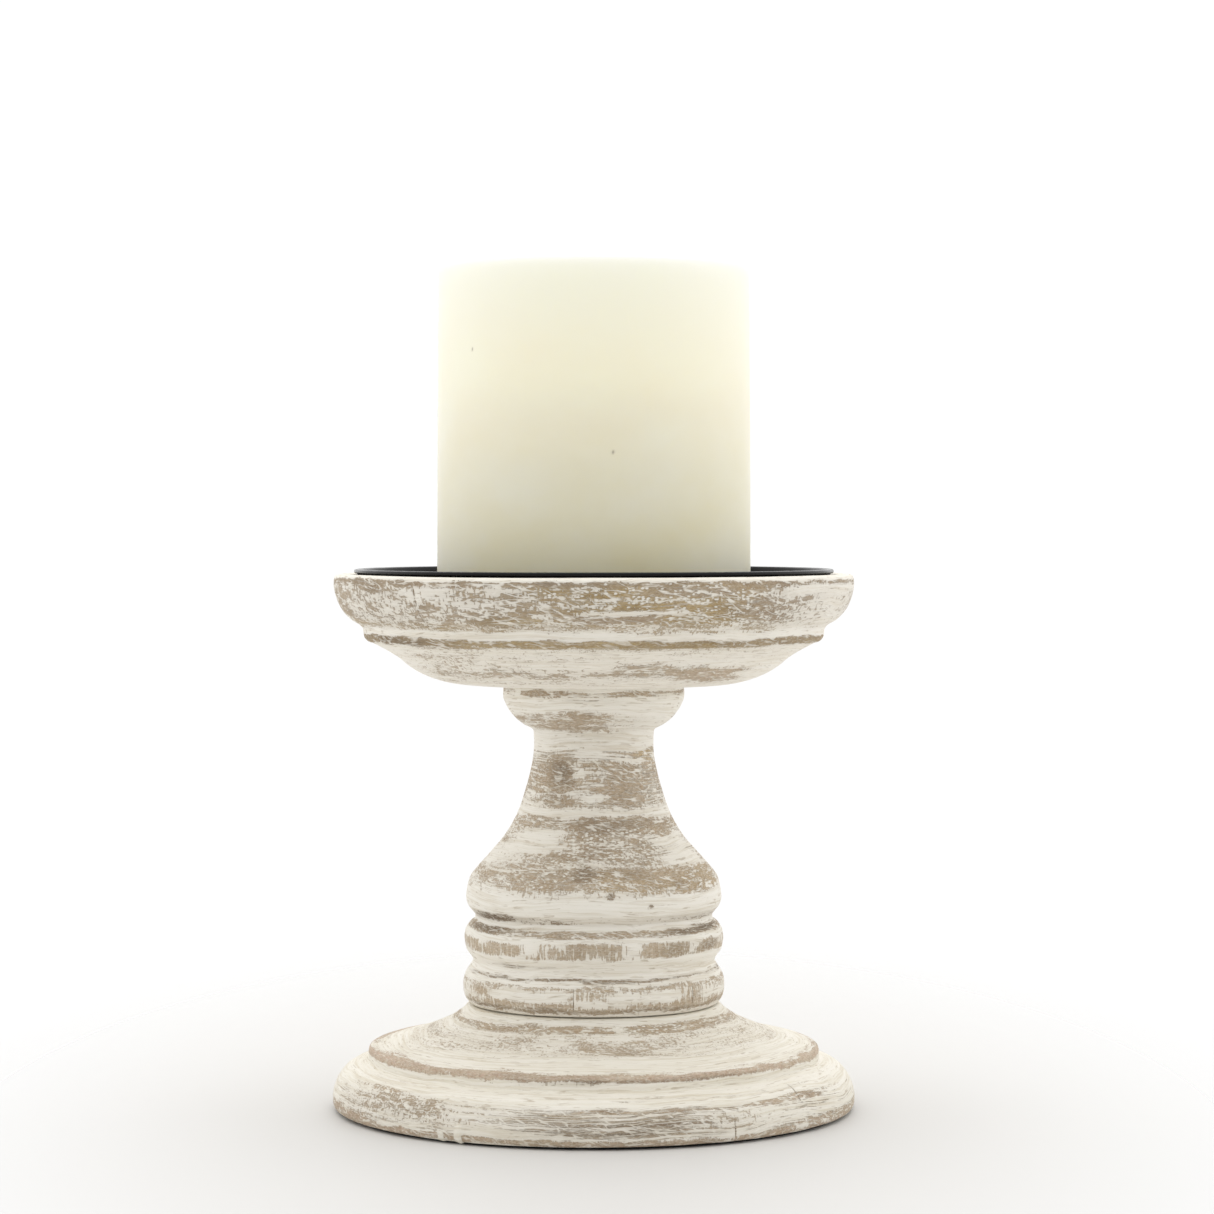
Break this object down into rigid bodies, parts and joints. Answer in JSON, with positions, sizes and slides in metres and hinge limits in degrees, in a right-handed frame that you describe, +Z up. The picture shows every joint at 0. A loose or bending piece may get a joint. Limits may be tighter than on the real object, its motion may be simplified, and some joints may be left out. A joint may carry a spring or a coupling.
{
  "type": "candlestick",
  "caption": "Turned wooden candlestick with a distressed whitewash finish, a black drip pan in its dish and a lift-out flameless pillar candle.",
  "frame": {"origin": "centre of the underside, on the surface that the candlestick stands on", "axes": "+Z up along the turned axis; +X towards the candle's switch, which is a free choice on a round object"},
  "size_m": [0.1272, 0.1272, 0.2052],
  "materials": {
    "whitewashed_wood": "matt whitewash, worn through to bare wood on edges and in streaks",
    "black_felt": "matt felt",
    "zinc_steel": "zinc plated",
    "black_enamel": "semi-gloss black",
    "ivory_wax": "smooth translucent wax",
    "ivory_plastic": "moulded, lightly textured",
    "white_plastic": "moulded",
    "black_plastic": "moulded",
    "battery_jacket": "satin",
    "nickel_contact": "nickel plated",
    "board_green": "solder mask",
    "amber_lamp": "clear moulded resin",
    "frosted_lens": "frosted"
  },
  "bodies": {
    "stand": {"base": "whitewashed_wood", "stem": "whitewashed_wood", "dish": "whitewashed_wood", "base_pad": "black_felt", "lower_screw": "zinc_steel", "lower_washer": "zinc_steel", "upper_screw": "zinc_steel", "upper_washer": "zinc_steel"},
    "pan": {"drip_pan": "black_enamel"},
    "candle": {"wax_shell": "ivory_wax", "battery_housing": "ivory_plastic", "housing_cap": "white_plastic", "cap_screw_1": "zinc_steel", "cap_screw_2": "zinc_steel", "cap_screw_3": "zinc_steel", "switch_body": "black_plastic", "battery_1": "battery_jacket", "battery_2": "battery_jacket", "contact_plate_1": "nickel_contact", "contact_plate_2": "nickel_contact", "contact_spring_1": "nickel_contact", "contact_spring_2": "nickel_contact", "circuit_board": "board_green", "lamp": "amber_lamp", "flame_lens": "frosted_lens"},
    "door": {"battery_door": "ivory_plastic"},
    "switch": {"switch_knob": "black_plastic"}
  },
  "joints": [
    {"name": "pan_lift", "type": "slide", "parent": "stand", "child": "pan", "axis": [0, 0, 1], "range_m": [0, 0.03]},
    {"name": "candle_lift", "type": "slide", "parent": "pan", "child": "candle", "axis": [0, 0, 1], "range_m": [0, 0.06]},
    {"name": "door_twist", "type": "hinge", "parent": "candle", "child": "door", "pos_m": [0, 0, 0.1274], "axis": [0, 0, -1], "range_deg": [0, 20]},
    {"name": "switch_slide", "type": "slide", "parent": "candle", "child": "switch", "axis": [0, 1, 0], "range_m": [0, 0.003]}
  ]
}
